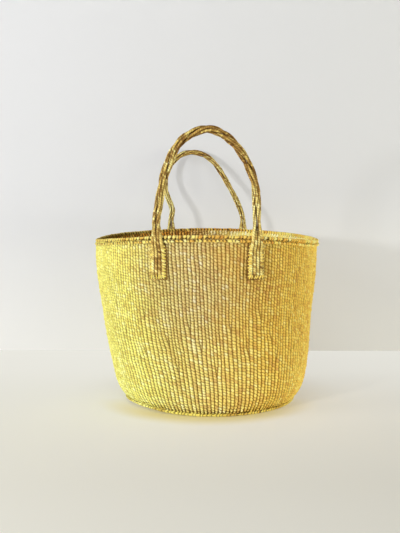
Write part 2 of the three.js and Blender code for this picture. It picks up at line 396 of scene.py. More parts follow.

# Colours that the sisal's colour is multiplied by; the one for low down is painted light
dull_middle = (0.0, -0.17, 0.215)
dull_tint = (0.85, 0.84, 1.15, 1)
# painted light: the floor's bounce lightens the wall low down
floor_bounce_tint = (1.08, 1.12, 1.2, 1)
front_tints = [
    (0.0, (0.93, 0.92, 1.0, 1)),
    (0.17, (1.04, 1.06, 1.2, 1)),
    (0.4, (1.0, 1.0, 1.3, 1)),
    (0.65, (1.0, 1.03, 1.5, 1)),
    (1.0, (1.0, 1.01, 1.05, 1)),
]
fibre_tints = [(0.3, (0.66, 0.63, 0.56, 1)), (0.5, (1, 1, 1, 1)), (0.72, (1.16, 1.16, 1.32, 1))]


def sisal(
    name, lemon, golden, grooves,
    groove_share=0.95, patch_share=0.06, dark_end=0.74, dull_share=0.0, inner=None,
):
    """Dyed sisal: each stitch has its tone, the dyeing is patchy, and the fibres run along the strand.

    Its colour runs from lemon on the basket's left and low down to golden on its right; across the basket
    this is painted light, lit on the left and in warm shade on the right. With inner, the inside has painted
    shade, brown, on the left and painted light, lemon, on the right near the rim, and is even deeper down.
    """
    g = Graph(bpy.data.materials.new(name))
    place = g.add("TexCoord", output=3)
    axes = g.add("SeparateXYZ", {0: place}, output=None)
    across, up = axes.outputs[0], axes.outputs[2]
    patch = g.add("TexNoise", {"Vector": place, "Scale": 22.0, "Detail": 3.0, "Roughness": 0.6})
    patch = g.math("SUBTRACT", patch, 0.5)
    shade = g.math("ADD", g.field("tone"), g.math("MULTIPLY", patch, 2 * patch_share), clamp=True)
    dye_and_light = g.math("ADD", g.math("MULTIPLY", across, painted_light_across), g.math("MULTIPLY", patch, dye_patches))
    dye_and_light = g.math("ADD", dye_and_light, g.math("MULTIPLY", up, golden_up))
    dye_and_light = g.math("ADD", dye_and_light, dye_and_light_middle, clamp=True)
    color = g.mix(dye_and_light, g.ramp(shade, lemon), g.ramp(shade, golden))
    grooves = g.ramp(dye_and_light, grooves)
    if dull_share:
        # high up in front the colour is duller and bluer
        far = g.add("VectorMath", {0: place, 1: dull_middle}, output=1, operation="DISTANCE")
        color = g.tint(color, dull_tint, g.fade(far, 0.04, 0.14, dull_share, 0.0))
    if inner:
        # in front the wall is whiter, and low down it is whiter and brighter still, which is painted light
        # from the floor's bounce
        color = g.tint(color, g.ramp(dye_and_light, front_tints))
        color = g.tint(color, floor_bounce_tint, g.fade(up, 0.03, 0.15, 1.0, 0.0))
        # painted shade and light inside: brown in the shade on the left, lemon where the light falls on the
        # right near the rim, and half way between deeper down
        inside = g.field("inside")
        inner_lit_share = g.fade(dye_and_light, 0.57, 1.0, kind="LINEAR")
        inner_lit_share = g.fade(up, 0.16, 0.245, 0.5, inner_lit_share, "LINEAR")
        color = g.mix(inside, color, g.mix(inner_lit_share, g.ramp(shade, inner[0]), g.ramp(shade, inner[1])))
        grooves = g.mix(inside, grooves, g.ramp(inner_lit_share, inner_shade_to_light_grooves))
    fibre = g.add("TexNoise", {"Vector": g.field("weave", 1), "Scale": 1.0, "Detail": 4.0, "Roughness": 0.65})
    color = g.tint(color, g.ramp(fibre, fibre_tints))
    # painted shade: where the depth field is low, in grooves, gaps and pits, the colour goes to the grooves'
    # dark colour
    dark = g.ramp(g.field("depth"), [(0.12, (groove_share,) * 3 + (1,)), (dark_end, (0, 0, 0, 1))])
    color = g.mix(dark, color, grooves)
    relief = g.add("Bump", {"Height": fibre, "Strength": 0.5, "Distance": 0.0004})
    rough = g.fade(fibre, 0.2, 0.8, 0.75, 0.42, "LINEAR")
    surface = {"Base Color": color, "Roughness": rough, "Normal": relief, "Specular IOR Level": 0.16}
    g.add("OutputMaterial", {"Surface": g.add("BsdfPrincipled", surface)}, output=None)
    return g.owner


def stops(places, *colors):
    return [(place, rgb(*color)) for place, color in zip(places, colors)]


lemon_stops = stops((0.0, 0.3, 0.6, 1.0), (208, 188, 88), (228, 219, 108), (242, 239, 124), (250, 249, 168))
golden_stops = stops((0.0, 0.3, 0.6, 1.0), (212, 164, 82), (234, 192, 86), (246, 216, 100), (250, 232, 136))
rim_left_stops = stops((0.0, 0.35, 1.0), (196, 160, 76), (222, 200, 100), (250, 242, 150))
rim_right_stops = stops((0.0, 0.35, 0.7, 1), (222, 164, 68), (250, 208, 94), (254, 236, 122), (255, 246, 160))
straw_stops = stops((0.0, 0.4, 1.0), (208, 170, 76), (234, 208, 96), (250, 240, 138))
brown_stops = stops((0.0, 0.35, 0.65, 1.0), (112, 78, 30), (178, 142, 72), (226, 202, 114), (252, 244, 168))
# inside: painted shade on the left and painted light on the right
inner_shaded_stops = stops((0.0, 0.5, 1.0), (160, 106, 38), (236, 164, 56), (255, 214, 112))
inner_lit_stops = stops((0.0, 0.5, 1.0), (250, 226, 126), (255, 252, 176), (255, 254, 214))
inner_shade_to_light_grooves = stops((0.0, 0.6, 1.0), (80, 50, 14), (118, 70, 12), (246, 224, 112))

# painted shade in the grooves: olive brown on the left, dark brown in front and golden brown on the right
wall_grooves = stops((0.1, 0.6, 1.0), (102, 84, 30), (108, 76, 28), (138, 98, 26))
# darker painted shade in the grooves of rims, cords and stitches
deep_grooves = stops((0.0, 1.0), (60, 34, 10), (74, 40, 8))
cord_grooves = stops((0.0, 1.0), (72, 42, 10), (84, 50, 12))
inner_shade_and_light_stops = (inner_shaded_stops, inner_lit_stops)
wall_sisal = sisal("wall_sisal", lemon_stops, golden_stops, wall_grooves, dull_share=1.0, inner=inner_shade_and_light_stops)
base_sisal = sisal("base_sisal", lemon_stops, golden_stops, wall_grooves)
rim_sisal = sisal("rim_sisal", rim_left_stops, rim_right_stops, deep_grooves, dull_share=0.5)
welt_sisal = sisal("welt_sisal", lemon_stops, straw_stops, deep_grooves, groove_share=0.9)
cord_sisal = sisal("cord_sisal", brown_stops, brown_stops, cord_grooves, patch_share=0.1, dark_end=0.8)
sewing_sisal = sisal("sewing_sisal", brown_stops, brown_stops, deep_grooves)
stitch_sisal = sisal("stitch_sisal", lemon_stops, golden_stops, deep_grooves)


# Woven sheets: a height field over a grid, along the first face and back along the second

# Where a sector's faces and its two ends lie across the UV map
faces_uv_width = 0.97
end_uv_places = (0.975, 0.99)
end_uv_width = 0.008


def woven_sectors(cloth, heights, split, count, turned=False):
    """Parts of a sheet that closes round the basket, cut upright into sectors with closed ends.

    The rows before split are the first face. With turned, the faces point into the sheet, against its ends.
    """
    rows, columns = cloth["tone"].shape
    width = columns // count
    line = width + 1
    quads, quad_uv = grid(rows, line, close_rows=True)
    quad_uv = quad_uv * [faces_uv_width, 1]
    if turned:
        quads, quad_uv = quads[:, ::-1], quad_uv[:, ::-1]
    first_face = np.arange(split) * line
    second_face = np.arange(rows - 1, split - 1, -1) * line
    ends, ends_uv = [], []
    for column, place in zip((0, width), end_uv_places):
        end = zip_lines(first_face + column, second_face + column)
        x = np.where(end // line >= split, place + end_uv_width, place)
        ends.append(end)
        ends_uv.append(np.stack([x, heights[end // line]], -1))
    faces = {
        "quads": quads,
        "quad_uv": quad_uv,
        "triangles": np.concatenate([ends[0], ends[1][:, ::-1]]),
        "triangle_uv": np.concatenate([ends_uv[0], ends_uv[1][:, ::-1]]),
    }
    for sector in range(count):
        here = (np.arange(line) + sector * width) % columns
        part = {key: values[:, here] for key, values in cloth.items()}
        yield faces | {key: values.reshape((-1,) + values.shape[2:]) for key, values in part.items()}


# Wall: outside up and inside down

wall_columns = 1600
outer_steps = wall_rows * 6
inner_steps = wall_rows * 5 // 2
wall_sectors = 8


def wall_edges(rng, shares):
    """Edges of the ribs at each height. Each group of three gains a rib at its own fork."""
    groups = np.arange(rib_groups)
    # the forks are spread evenly over the heights, so that the ribs between them stay nearly upright
    forks = 0.24 + 0.38 * ((groups * 0.618034) % 1) + rng.uniform(-0.02, 0.02, rib_groups)
    places = rng.integers(1, ribs_per_group, rib_groups)
    growth = np.ones((len(shares), rib_groups, ribs_per_group))
    growth[:, groups, places] = smoothstep(shares[:, None], forks - 0.02, forks + 0.09)
    # neighbouring groups share out the width of a new rib, so that the ribs beside it bend gently
    group_width = sum(np.roll(growth.sum(2), shift, 1) for shift in range(-4, 5)) / 9
    group_width = 0.45 * group_width + 0.55 * group_width.mean(1, keepdims=True)
    ribs = growth.reshape(len(shares), -1)
    stray = 0.07 * rng.normal(0, 1, ribs.shape[1])
    phases = rng.uniform(0, 1, ribs.shape[1])
    widths = ribs * (1 + stray * np.cos(TAU * (shares[:, None] + phases)))
    widths = (widths + 1e-6).reshape(growth.shape)
    widths = widths / widths.sum(2, keepdims=True) * group_width[:, :, None]
    return rib_edges(widths.reshape(ribs.shape)), ribs


def build_wall():
    rng = np.random.default_rng(11)
    shares = np.concatenate([np.linspace(0, 1, outer_steps + 1), np.linspace(1, 0, inner_steps)])
    steps = np.arange(len(shares))[:, None]
    inside = steps > outer_steps
    up = shares[:, None]
    angle = full_turn(wall_columns)[None]
    edges, growths = wall_edges(rng, shares)
    # low down on the front left the ribs lean
    swirl = -0.085 * bump(angle, 5.75, 0.75) * np.clip(1 - up / 0.62, 0, 1) ** 1.4
    swirl = swirl + 0.009 * drift(rng, angle, up, 5, 0.7) + 0.0016 * drift(rng, angle, up, 40, 5)
    rib, u = find_ribs(edges, ((angle + swirl) / TAU) % 1)
    v = up * wall_rows + 0.22 * drift(rng, angle, up, 7, 2.5) + 0.1 * drift(rng, angle, up, 24, 6)
    tones = tone_table(rng, wall_rows + 2, rib_groups * ribs_per_group)
    bulges = rng.normal(0, 1, tones.shape)
    # the stitches lie smoother at the sides, most of all on the right, and the painted shade between them is
    # lighter there
    right = np.sin(angle)
    rough = 1.1 - 0.6 * smoothstep(right, 0.45, 0.95) - 0.4 * smoothstep(-right, 0.3, 0.9)
    height, light, tone, across, row = stitches(u, v, rib, growths[steps, rib], tones, bulges, rough)
    dent = 0.9 * drift(rng, angle, up, 5, 0.9) * np.sin(math.pi * up) ** 0.8
    # just over the foot cord there are pits between the ribs
    pits = np.exp(-((up * wall_rows - 0.45) / 0.7) ** 2) * np.clip(1.3 - height * 1.6, 0, 1)
    face = foot_radius + (mouth_radius - foot_radius) * widening(up)
    # the wall thins where it goes into the upper roll
    thinner = 3.2 * smoothstep(up, 0.978, 1)
    inner_face = face - wall_thickness - inner_reach + inner_rib_depth * (1 - height) + thinner
    outer_face = face - wall_rib_depth * (1 - height) + 0.2 - pits
    swell = rim_swell * bump(angle, -math.pi / 2, 0.75)
    radius = np.where(inside, inner_face, outer_face) + dent + swell * smoothstep(up, 0.55, 0.93)
    z = wall_foot + up * (wall_reach + saddle(angle) - wall_foot) + wave(angle) * smoothstep(up, 0.7, 1)
    points = slump(around(radius, angle, z))
    # painted shade: dark between the stitches and in the pits over the foot cord
    depth = np.clip(light - 0.8 * pits, 0, 1)
    step_columns = np.roll(points, -1, 1) - np.roll(points, 1, 1)
    step_rows = np.roll(points, -1, 0) - np.roll(points, 1, 0)
    cloth = {
        "points": points,
        "normals": unit(np.cross(step_columns, step_rows)),
        "tone": np.where(inside, np.clip(0.5 + (tone - 0.5) * 1.8, 0, 1), tone),
        "depth": np.where(inside, smoothstep(depth, 0.34, 0.84), depth),
        "weave": fibre_field(angle * face, across, row, rib),
        "inside": np.broadcast_to(inside, tone.shape),
    }
    for index, part in enumerate(woven_sectors(cloth, shares, outer_steps + 1, wall_sectors)):
        piece = make_piece("wall_weave_%d" % (index + 1), part, wall_sisal)
        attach(piece, "basket")
        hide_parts("wall")


build_wall()


# Base: radial warps twined in rings, woven on both faces, in two halves

base_columns = 960
base_steps = 88
base_ribs = 150
base_tone_rows = 34  # enough for all its rings
base_knot_share = 0.2  # of the start knot's height, which the weave has under the crossed cords


def build_base():
    rng = np.random.default_rng(23)
    outwards = np.linspace(0.15, base_radius, base_steps)
    radii = np.concatenate([outwards, outwards[::-1]])
    steps = np.arange(len(radii))[:, None]
    reach = radii[:, None]
    share = reach / base_radius
    angle = full_turn(base_columns)[None]
    births = ((np.arange(base_ribs) * 0.6180339) % 1) * base_radius
    births = np.where(births < 8, 0, births)
    growths = smoothstep(reach, births - 2, births + 8)
    edges = rib_edges(growths + 1e-6)
    rib, u = find_ribs(edges, ((angle + 0.012 * drift(rng, angle, share, 4, 1)) / TAU) % 1)
    v = reach / row_height + 0.15 * drift(rng, angle, share, 6, 1)
    tones = tone_table(rng, base_tone_rows, base_ribs)
    bulges = rng.normal(0, 1, tones.shape)
    height, light, tone, across, row = stitches(u, v, rib, growths[steps, rib], tones, bulges)
    knot_fall = smoothstep(reach, start_knot_radius / 2, start_knot_radius)
    knot = start_knot_height * base_knot_share * (1 - knot_fall)
    z = np.where(
        steps >= base_steps,
        base_thickness + knot - base_rib_depth * (1 - height),
        base_rib_depth * (1 - np.minimum(height, 1)),
    )
    cloth = {
        "points": slump(around(reach, angle, z)),
        "tone": tone,
        "depth": light,
        "weave": fibre_field(angle * reach, across, row, rib),
    }
    halves = woven_sectors(cloth, radii / base_radius, base_steps, 2, turned=True)
    for name, part in zip(("right", "left"), halves):
        piece = make_piece("base_weave_" + name, part, base_sisal)
        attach(piece, "basket")
        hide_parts("base_disc")


build_base()


# Cords: tubes whose sections follow a line, formed by plies or by stitches


def lengths_along(line):
    steps = np.linalg.norm(np.diff(line, axis=0), axis=1)
    return np.concatenate([[0], np.cumsum(steps)])


def resample(line, count, *others):
    """The line, and any values given along it, at equal steps."""
    along = lengths_along(line)
    wanted = np.linspace(0, along[-1], count)
    out = []
    for values in (line, *others):
        flat = values.reshape(len(values), -1)
        new = np.stack([np.interp(wanted, along, flat[:, k]) for k in range(flat.shape[1])], 1)
        out.append(new.reshape((count,) + values.shape[1:]))
    return out if others else out[0]


def tube_part(line, side, half_width, half_height, shape, sides, closed=False):
    """Tube round a line. At each step and turn, shape gives the share of the radius, tone, depth (low for
    painted shade), fibres.
    """
    count = len(line)
    along = unit(np.roll(line, -1, 0) - np.roll(line, 1, 0) if closed else np.gradient(line, axis=0))
    side = unit(side - (side * along).sum(1, keepdims=True) * along)
    normal = np.cross(along, side)
    turn = full_turn(sides)
    share, tone, depth, fibres = shape(lengths_along(line)[:, None], turn[None])
    wide = (half_width[:, None] * share * np.cos(turn))[..., None] * side[:, None]
    high = (half_height[:, None] * share * np.sin(turn))[..., None] * normal[:, None]
    size = count * sides
    quads, uv = grid(count, sides, close_rows=closed, close_columns=True)
    part = {
        "points": (line[:, None] + wide + high).reshape(-1, 3),
        "quads": quads,
        "quad_uv": uv if closed else uv * [1, 0.98] + [0, 0.01],
        "triangles": np.zeros((0, 3), int),
        "triangle_uv": np.zeros((0, 3, 2)),
        "tone": tone.reshape(size),
        "depth": depth.reshape(size),
        "weave": fibres.reshape(size, 3),
    }
    if closed:
        return part
    ring = np.arange(sides)
    after = (ring + 1) % sides
    last = size - sides
    for field in ("tone", "depth", "weave"):
        part[field] = np.concatenate([part[field], part[field][[0, last]]])
    part["points"] = np.concatenate([part["points"], line[[0, -1]]])
    start_fan = np.stack([after, ring, np.full(sides, size)], 1)
    end_fan = np.stack([last + ring, last + after, np.full(sides, size + 1)], 1)
    part["triangles"] = np.concatenate([start_fan, end_fan])
    x = np.stack([ring + 1, ring, ring], 1) / sides
    start_uv = np.stack([x, np.broadcast_to([0.01, 0.01, 0], x.shape)], -1)
    end_uv = np.stack([1 - x, np.broadcast_to([0.99, 0.99, 1], x.shape)], -1)
    part["triangle_uv"] = np.concatenate([start_uv, end_uv])
    return part


def join(parts):
    """One set of points and faces, each part with its own cell of the UV map."""
    across = math.ceil(math.sqrt(len(parts)))
    joined = {key: [] for key in parts[0]}
    first = 0
    for index, part in enumerate(parts):
        corner = np.array([index % across, index // across])
        for key, values in part.items():
            if key.endswith("_uv"):
                values = (corner + (values * 0.96 + 0.02 if across > 1 else values)) / across
            elif key in ("quads", "triangles"):
                values = values + first
            joined[key].append(values)
        first += len(part["points"])
    return {key: np.concatenate(values) for key, values in joined.items()}


def plied(rng, total, lay, notch, mean_tone):
    """Shape of a two-ply cord of a whole number of lays."""
    plies = 2
    stretch = 16  # a ply keeps its tone for this length
    lays = max(round(total / lay), 1)
    pieces = int(total / stretch) + 2
    tones = np.clip(rng.normal(mean_tone, 0.18, (plies, pieces)), 0, 1)
    small = rng.normal(0, 0.07, (plies, 4 * lays + 8))
    starts = rng.uniform(0, 1, plies)

    def shape(distance, turn):
        place = (turn - distance / total * lays * TAU) / TAU * plies
        ply = np.floor(place).astype(int)
        across = place - ply
        which = ply % plies
        lump = np.abs(np.sin(math.pi * across))
        segment = np.minimum((distance / stretch + starts[which]).astype(int), pieces - 1)
        wrap = np.abs(ply) % small.shape[1]
        tone = np.clip(tones[which, segment] + small[which, wrap], 0, 1)
        fibres = stacked(distance * 0.25, across * 9, which * 5.7 + wrap * 1.3)
        return 1 - notch * (1 - lump**0.8), tone, lump, fibres

    return shape


def build_start_knot():
    """Crossed cords in the middle of the bottom's upper face, from which its ribs start."""
    rng = np.random.default_rng(29)
    radius = 0.95
    spacing = 2.7
    steps = 48
    parts = []
    for direction in range(2):
        for order in range(-2, 3):
            reach = math.sqrt(start_knot_radius**2 - (order * spacing) ** 2)
            run = np.linspace(-reach, reach, steps)
            across = order * spacing + 0.25 * np.sin(run * 0.7 + order)
            crossing = np.cos(math.pi * (run / spacing + order + direction))
            rise = 1 - smoothstep(np.abs(run), reach - 2.5, reach)
            z = base_thickness - 0.6 + (1.1 + 0.42 * crossing) * rise
            line = slump(stacked(*((run, across) if direction else (across, run)), z))
            shape = plied(rng, lengths_along(line)[-1], lay=5.0, notch=0.3, mean_tone=0.6)
            side = np.tile([0, 0, 1.0], (steps, 1))
            thick = np.full(steps, radius)
            parts.append(tube_part(line, side, thick, thick, shape, 10))
    piece = make_piece("base_start_knot", join(parts), base_sisal)
    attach(piece, "basket")
    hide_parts("base_disc")


build_start_knot()


ring_step = 0.8  # between the sections of a ring's tube
ring_sides = 24
foot_stitches = 156


def ring_line(radius, height, saddled, count):
    angle = full_turn(count)
    z = height + (saddle(angle) + wave(angle) if saddled else 0 * angle)
    return slump(around(radius, angle, z)), around(np.ones(count), angle, 0 * angle)


def whipped(rng, count, total, slant, pit_turn, inner_gap_and_shade):
    """Shape of a cord round the basket, covered with stitches, with a pit beside each at one turn."""
    notch = 0.3
    tones = stitch_tones(rng, count, 0.22, 0.12, 4)
    bulges = rng.normal(0, 0.05, count)
    pits = rng.uniform(0, 1.4, count) ** 2
    phases = rng.uniform(0, TAU, 4)

    def shape(distance, turn):
        angle = distance / total * TAU
        right = np.sin(angle)
        stray = sum(np.sin(cycles * angle + phase) for cycles, phase in zip((31, 47, 73, 89), phases)) * 0.1
        place = angle / TAU * count + slant * np.sin(turn - pit_turn) + stray
        stitch = np.floor(place).astype(int) % count
        across = place - np.floor(place)
        strand = 1 - np.abs(2 * across - 1) ** 1.8
        # the stitches lie smoother on the right, and their painted shade is lighter there
        rough = 1 - 0.5 * smoothstep(right, 0.5, 0.95)
        pit = np.exp(-(((turn - pit_turn + math.pi) % TAU - math.pi) / 0.55) ** 2) * pits[stitch]
        gap = (1 - strand) * (notch + 0.7 * pit) * rough
        # the side towards the mouth is notched and has painted shade, brown and dark, but not on the right,
        # where it faces the left and the light
        shaded_inner_side = inner_gap_and_shade * np.clip(-np.cos(turn), 0, 1) * (1 - smoothstep(right, 0.2, 0.7))
        gap = gap + 0.3 * (1 - strand) * shaded_inner_side
        share = 1 - gap + bulges[stitch] * rough
        tone = np.clip(0.42 + 0.15 * np.clip(right, 0, 1) + tones[stitch] - 0.25 * shaded_inner_side, 0, 1)
        # painted shade: dark in the gaps between stitches, in the pits and on the inner side
        depth = np.clip(1 - (1 - strand) * ((0.95 + 1.4 * pit) * rough + 0.6 * shaded_inner_side) - 0.3 * pit, 0, 1)
        return share, tone, depth, stacked(turn * 1.2 + 0 * distance, across * 7, stitch * 3.1)

    return shape


def build_ring(rng, names, radius, height, thick, material, stitching, saddled=True):
    """Turn 0 of a ring's tube points away from the basket's middle, and a quarter turn points down."""
    name, node, slot = names
    stitch_count, slant, pit_turn, inner_gap_and_shade = stitching
    count = int(TAU * radius / ring_step)
    line, outward = ring_line(radius, height, saddled, count)
    angle = full_turn(count)
    wobble = 1 - 0.04 + 0.04 * np.tanh(drift(rng, angle, 0, 40, 0))
    shape = whipped(rng, stitch_count, TAU * radius, slant, pit_turn, inner_gap_and_shade)
    part = tube_part(line, outward, thick * wobble, thick * wobble, shape, ring_sides, closed=True)
    piece = make_piece(name, part, material)
    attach(piece, "basket")
    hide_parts(node)


def build_rings():
    """The cords of rim and foot. Stitching: how many, their slant, the pits' turn, gaps and painted shade at
    the inner side.
    """
    rng = np.random.default_rng(37)
    quarter = math.pi / 2
    count = rib_groups * ribs_per_group
    names = ("rim_upper_cord", "rim_upper_roll", "rim_cord")
    height, thick = rim_height - upper_roll_radius, upper_roll_radius + 0.1
    stitching = (count, 0.18, quarter * 0.6, 1)
    build_ring(rng, names, upper_roll_middle, height, thick, rim_sisal, stitching)
    names = ("rim_lower_cord", "rim_lower_roll", "rim_cord")
    height, thick = rim_height - lower_roll_drop, lower_roll_radius + 0.3
    stitching = (count, -0.14, -quarter * 0.7, 0)
    build_ring(rng, names, lower_roll_middle, height, thick, rim_sisal, stitching)
    names = ("foot_cord", "base_welt", "foot_cord")
    height, thick = welt_radius + 0.05, welt_radius - 0.05
    stitching = (foot_stitches, 0.55, -quarter * 0.9, 0)
    build_ring(rng, names, welt_middle, height, thick, welt_sisal, stitching, saddled=False)


build_rings()


# Handles: four wrapped cords each, flat and side by side in the sewn ends, twisted in the arch


def catmull_rom(points, steps=40):
    """The same centripetal curve as the CAD's."""
    points = np.asarray(points, float)
    padded = np.concatenate([[2 * points[0] - points[1]], points, [2 * points[-1] - points[-2]]])
    t = np.linspace(0, 1, steps, endpoint=False)[:, None]
    out = []
    for k in range(len(points) - 1):
        a, b, c, d = padded[k : k + 4]
        ab, bc, cd = (np.linalg.norm(q - p) ** 0.5 for p, q in ((a, b), (b, c), (c, d)))
        start = ((b - a) / ab - (c - a) / (ab + bc) + (c - b) / bc) * bc
        end = ((c - b) / bc - (d - b) / (bc + cd) + (d - c) / cd) * bc
        out.append(
            (2 * t**3 - 3 * t**2 + 1) * b + (t**3 - 2 * t**2 + t) * start
            + (-2 * t**3 + 3 * t**2) * c + (t**3 - t**2) * end
        )
    return np.concatenate(out + [points[-1:]])


def soften(values, width):
    """Running mean along the first axis, with the ends kept."""
    kernel = np.hanning(2 * width + 3)[1:-1]
    kernel /= kernel.sum()
    padded = np.concatenate([np.repeat(values[:1], width, 0), values, np.repeat(values[-1:], width, 0)])
    return np.stack([np.convolve(padded[:, k], kernel, "valid") for k in range(values.shape[1])], 1)


class Handle:
    def __init__(self, name, side, spacing, rise, lean, shares, cord_radius, painted_arch_light):
        self.name, self.side, self.cord_radius, self.painted_arch_light = name, side, cord_radius, painted_arch_light
        self.leg_angle = math.asin(spacing / 2 / bend_radius)
        self.rim_top = rim_height + saddle(self.leg_angle)
        y = side * bend_radius * math.cos(self.leg_angle)
        self.origin = np.array([0, y, self.rim_top + rim_lift + strand_radius])
        self.up = np.array([0, side * math.sin(lean), math.cos(lean)])
        self.square = np.cross([1, 0, 0], self.up)
        shares = np.array(shares)
        across = shares[:, :1] * spacing / 2 * np.array([1, 0, 0])
        knots = self.origin + across + shares[:, 1:] * rise * self.up
        self.arch = resample(catmull_rom(knots), arch_steps)
        self.foot = self.rim_top - tab_height
        self.top = self.origin[2] - strand_radius

    def middle_angle(self, leg):
        """Angle of the tab on one leg: -1 is the left one and 1 the right one."""
        return leg * self.leg_angle if self.side < 0 else math.pi - leg * self.leg_angle

    def tab_point(self, leg, across, outward, z):
        """Across runs along +X whichever side of the basket the tab is on."""
        angle = self.middle_angle(leg) - self.side * across / mouth_radius
        return around(mouth_radius + outward, angle, z)

    def tab_back(self, z):
        """How far the tab's back stands off the wall, as it climbs over the lower roll."""
        roll_bottom = self.rim_top - lower_roll_drop - lower_roll_radius
        over_roll = lower_roll_middle + lower_roll_radius - mouth_radius
        return clearance + over_roll * smoothstep(z, roll_bottom - tab_ramp_height, roll_bottom - clearance)

    def tab_half_width(self, z):
        share = (z - self.foot) / (self.top - self.foot)
        heights, widths = np.array(tab_outline_shares).T
        return tab_width / 2 * np.interp(share, heights, widths)


arch_steps = 561
# the last number is painted light, which makes the arch lighter, most on the rear handle
front = Handle("front_handle", -1, 140, 141, 0, front_arch_shares, cord_radius=2.65, painted_arch_light=0.02)
rear = Handle("rear_handle", 1, 130, 149.5, math.radians(24), rear_arch_shares, cord_radius=2.2, painted_arch_light=0.16)

tab_rib_height = 2.1  # half of a rib's thickness
tab_join = 7  # the tab's ribs end this far below the handle's first bend
arch_join = 13  # and the bundle starts this far above it
cord_steps = 900


def tab_rib(handle, leg, order):
    """Line of one rib of a tab from its lower end up, with its side, half width and half height."""
    z = np.linspace(handle.foot + 0.3, handle.top - tab_join, 80)
    pitch = handle.tab_half_width(z) / 2
    across = (order - 1.5) * pitch
    line = handle.tab_point(leg, across, handle.tab_back(z) + tab_rib_height - 0.1, z)
    angle = handle.middle_angle(leg) - handle.side * across / mouth_radius
    side = np.stack([np.cos(angle), np.sin(angle), 0 * angle], -1) * -handle.side
    return line, side, pitch * 0.51, np.full(len(z), tab_rib_height)


def cord_layer(handle, order):
    """The middle cords of the left tab lie outside in the bundle, and the others behind them."""
    return -handle.side * (1 if order in (1, 2) else -1)


def handle_cord(handle, order):
    """Line of one of the handle's four cords from tab to tab, as a corner of the twisted bundle."""
    arch, radius = handle.arch, handle.cord_radius
    share = np.linspace(0, 1, len(arch))
    along = unit(np.gradient(arch, axis=0))
    outward = np.cross(along, handle.square)
    turn = half_twists * math.pi * smoothstep(share)
    wide = outward * np.cos(turn)[:, None] + handle.square * np.sin(turn)[:, None]
    deep = -outward * np.sin(turn)[:, None] + handle.square * np.cos(turn)[:, None]
    layer = cord_layer(handle, order)
    strand = 1 if order > 1 else -1
    offset = wide * strand * radius * 1.04 + deep * layer * radius * 0.84
    length = lengths_along(arch)
    inside = (length > arch_join) & (length < length[-1] - arch_join)
    thick = np.full(inside.sum(), radius)
    left = tab_rib(handle, -1, order)
    middle = ((arch + offset)[inside], wide[inside], thick, thick)
    right = [part[::-1] for part in tab_rib(handle, 1, order)]
    line, *others = [np.concatenate(parts) for parts in zip(left, middle, right)]
    line, side, half_width, half_height = resample(line, cord_steps, *others)
    line[4:-4] = soften(line, 10)[4:-4]
    widths = soften(np.stack([half_width, half_height], 1), 14)
    return line, soften(side, 14), widths[:, 0], widths[:, 1]


wrap_pitch = 3.3  # of the stitches that wrap a handle's cord
arch_lay = 52.0  # length of one turn of its plies
arch_plies = 3
ply_stretch = 30  # a ply keeps its tone for this length
wrap_end = 50  # the wraps end this far from the cord's end
arch_start = 76  # and the plies have taken over here
# of each cord, in the left sewn end, the arch and the right sewn end; partly the cords' own tones and partly
# painted light and shade
cord_tones = [(0.62, 0.42, 0.8), (0.5, 0.3, 0.52), (0.3, 0.22, 0.7), (0.6, 0.3, 0.54)]


def handle_yarn(rng, total, order, layer, painted_arch_light):
    """Shape of a handle's cord: wrapped in stitches in the sewn ends, and of long plies in the arch."""
    left_tone, arch_tone, right_tone = cord_tones[order]
    within = math.pi if order > 1 else 0.0  # turns that face the neighbours in the bundle
    behind = layer * math.pi / 2
    count = int(total / wrap_pitch) + 4
    tones = stitch_tones(rng, count, 0.2, 0.08, 5)
    bulges = rng.normal(0, 1, count)
    ply_tones = rng.normal(0, 0.09, (arch_plies, int(total / ply_stretch) + 3))

    def shape(distance, turn):
        place = distance / wrap_pitch + 2 * turn / TAU + 1 + 0.2 * np.sin(distance * 0.19)
        stitch = np.floor(place).astype(int) % count
        wrap = strand_back(place - np.floor(place))
        spot = turn / TAU * arch_plies - distance / arch_lay * arch_plies + 0.25 * np.sin(distance * 0.11)
        ply = np.floor(spot).astype(int) % arch_plies
        lump = np.abs(np.sin(math.pi * spot))
        stretch = (distance / ply_stretch + ply * 0.37).astype(int)
        ends = np.minimum(distance, total - distance)
        bundle = smoothstep(ends, wrap_end, arch_start)
        wrap_share = 0.8 + 0.23 * wrap + 0.035 * bulges[stitch]
        ply_share = 0.75 + 0.2 * lump + 0.09 * wrap + 0.03 * bulges[stitch]
        share = between(wrap_share, ply_share, bundle) * np.sqrt(np.clip(ends / 1.6, 0.02, 1))
        leg = 0.33 * (1 - smoothstep(ends, 80, 200))
        # the handle's painted light lightens its arch
        ply_tone = arch_tone + painted_arch_light + leg + ply_tones[ply, stretch] + 0.8 * tones[stitch]
        foot_tone = np.where(distance < total / 2, left_tone, right_tone)
        tone = between(foot_tone + tones[stitch], ply_tone, bundle)
        # the grooves beside the neighbours are dark
        right = 0 if order == 3 else np.clip(np.cos(turn), 0, 1)
        left = 0 if order == 0 else np.clip(-np.cos(turn), 0, 1)
        bundle_shade = np.clip(np.maximum(np.cos(turn - within), np.cos(turn - behind)), 0, 1)
        shade = between(np.maximum(right, left), bundle_shade, bundle) ** 3
        light = between(0.1 + 0.9 * wrap, (0.12 + 0.88 * lump) * (0.12 + 0.88 * wrap), bundle)
        wrap_fibres = stacked(distance * 1.8, turn * 0.9, stitch * 3.1)
        ply_fibres = stacked(distance * 0.22, spot * 2.6, ply * 5.7)
        fibres = np.where(bundle[..., None] < 0.5, wrap_fibres, ply_fibres)
        return share, np.clip(tone, 0, 1), np.clip(light * (1 - shade), 0, 1), fibres

    return shape


# Metres below and above the hinge
bend_below = 0.004
bend_above = 0.014


